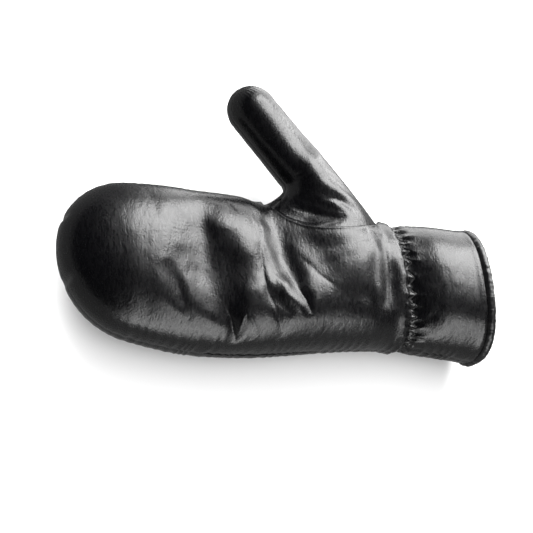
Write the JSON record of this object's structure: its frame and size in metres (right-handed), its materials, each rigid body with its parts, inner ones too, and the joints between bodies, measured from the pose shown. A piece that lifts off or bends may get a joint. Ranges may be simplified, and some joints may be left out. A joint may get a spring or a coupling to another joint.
{
  "type": "leather mitten",
  "caption": "Lined leather dress mitten for the right hand, lying palm up, with a set-in thumb, a gathered wrist and a bound cuff.",
  "frame": {"origin": "on the flat underside, where the back of the hand rests, under the middle of the palm", "axes": "+X from the fingertips to the cuff, +Y to the thumb, +Z out of the palm"},
  "size_m": [0.2666, 0.163, 0.0574],
  "materials": {
    "nappa_leather": "smooth glossy nappa with fine grain and fold creases",
    "binding_leather": "glossy rolled strip with fine cross creases"
  },
  "bodies": {
    "root": {"palm_panel": "nappa_leather", "back_panel": "nappa_leather", "thumb_front": "nappa_leather", "thumb_back": "nappa_leather", "thumb_gusset": "nappa_leather", "cuff_binding": "binding_leather"}
  },
  "joints": []
}
